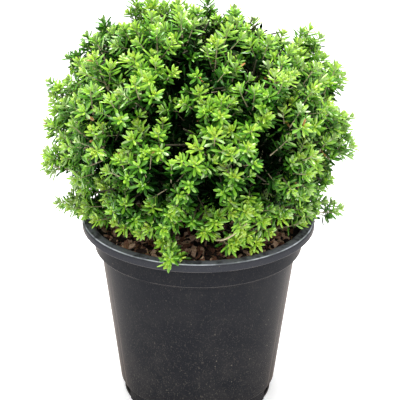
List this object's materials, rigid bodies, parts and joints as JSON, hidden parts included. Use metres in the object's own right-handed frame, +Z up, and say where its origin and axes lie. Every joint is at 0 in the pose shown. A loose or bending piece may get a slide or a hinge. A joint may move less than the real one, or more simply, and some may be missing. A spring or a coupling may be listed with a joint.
{
  "type": "potted coastal rosemary",
  "caption": "Dense rounded evergreen shrub with narrow whorled leaves, standing in a tapered round nursery pot filled with bark potting mix.",
  "frame": {"origin": "middle of the pot's flat underside", "axes": "+Z straight up along the pot's axis; the side that the picture shows faces -Y, with +X to its right"},
  "size_m": [0.3327, 0.335, 0.4514],
  "materials": {
    "pot_plastic": "matt charcoal moulded plastic with fine dust",
    "potting_mix": "loose composted bark chips and fines",
    "bark": "pale brown stringy bark",
    "foliage": "satin narrow leaves, yellow-green at the tips"
  },
  "bodies": {
    "root": {"pot": "pot_plastic", "potting_soil": "potting_mix", "trunk": "bark", "bough_01": "bark", "bough_02": "bark", "bough_03": "bark", "bough_04": "bark", "bough_05": "bark", "bough_06": "bark", "bough_07": "bark", "bough_08": "bark", "bough_09": "bark", "bough_10": "bark", "bough_11": "bark", "bough_12": "bark", "bough_13": "bark", "bough_14": "bark", "bough_15": "bark", "foliage_01": "foliage", "foliage_02": "foliage", "foliage_03": "foliage", "foliage_04": "foliage", "foliage_05": "foliage", "foliage_06": "foliage", "foliage_07": "foliage", "foliage_08": "foliage", "foliage_09": "foliage", "foliage_10": "foliage", "foliage_11": "foliage", "foliage_12": "foliage", "foliage_13": "foliage", "foliage_14": "foliage", "foliage_15": "foliage"}
  },
  "joints": []
}
